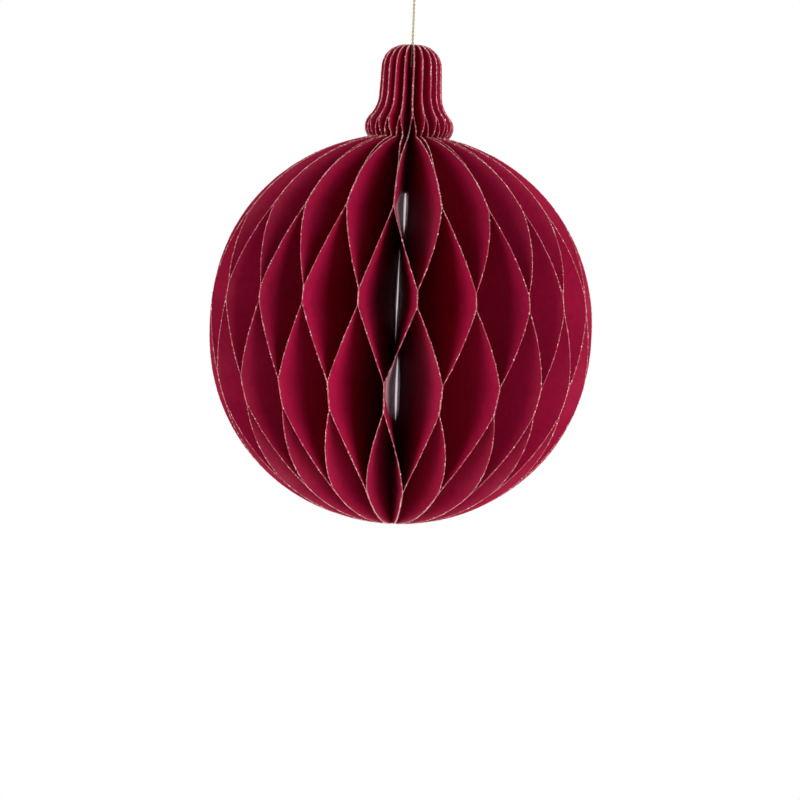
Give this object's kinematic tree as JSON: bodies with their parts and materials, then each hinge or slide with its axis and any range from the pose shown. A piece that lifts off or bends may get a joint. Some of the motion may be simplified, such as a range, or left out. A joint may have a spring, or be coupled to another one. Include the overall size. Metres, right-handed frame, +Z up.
{
  "type": "honeycomb paper ball",
  "caption": "Hanging round bauble of crimson honeycomb paper with a bell-shaped cap, gold-glittered leaf edges and a gold cord loop.",
  "frame": {"origin": "top of the hanging cord's loop, on the ball's axis", "axes": "+Z up along the spine, -Y towards the front, where the glue shows between two leaves"},
  "size_m": [0.1492, 0.1496, 0.2398],
  "materials": {
    "paper": "matt crimson paper with gold glitter on the cut edges",
    "glue": "clear glossy glue",
    "cord": "twisted metallic gold thread"
  },
  "bodies": {
    "root": {"leaf_01": "paper", "leaf_02": "paper", "leaf_03": "paper", "leaf_04": "paper", "leaf_05": "paper", "leaf_06": "paper", "leaf_07": "paper", "leaf_08": "paper", "leaf_09": "paper", "leaf_10": "paper", "leaf_11": "paper", "leaf_12": "paper", "leaf_13": "paper", "leaf_14": "paper", "leaf_15": "paper", "leaf_16": "paper", "leaf_17": "paper", "leaf_18": "paper", "leaf_19": "paper", "leaf_20": "paper", "leaf_21": "paper", "leaf_22": "paper", "leaf_23": "paper", "leaf_24": "paper", "leaf_25": "paper", "leaf_26": "paper", "leaf_27": "paper", "leaf_28": "paper", "leaf_29": "paper", "leaf_30": "paper", "leaf_31": "paper", "leaf_32": "paper", "leaf_33": "paper", "leaf_34": "paper", "leaf_35": "paper", "leaf_36": "paper", "leaf_37": "paper", "leaf_38": "paper", "leaf_39": "paper", "leaf_40": "paper", "leaf_41": "paper", "leaf_42": "paper", "spine_glue": "glue", "hanging_cord": "cord", "loop_knot": "cord"}
  },
  "joints": []
}
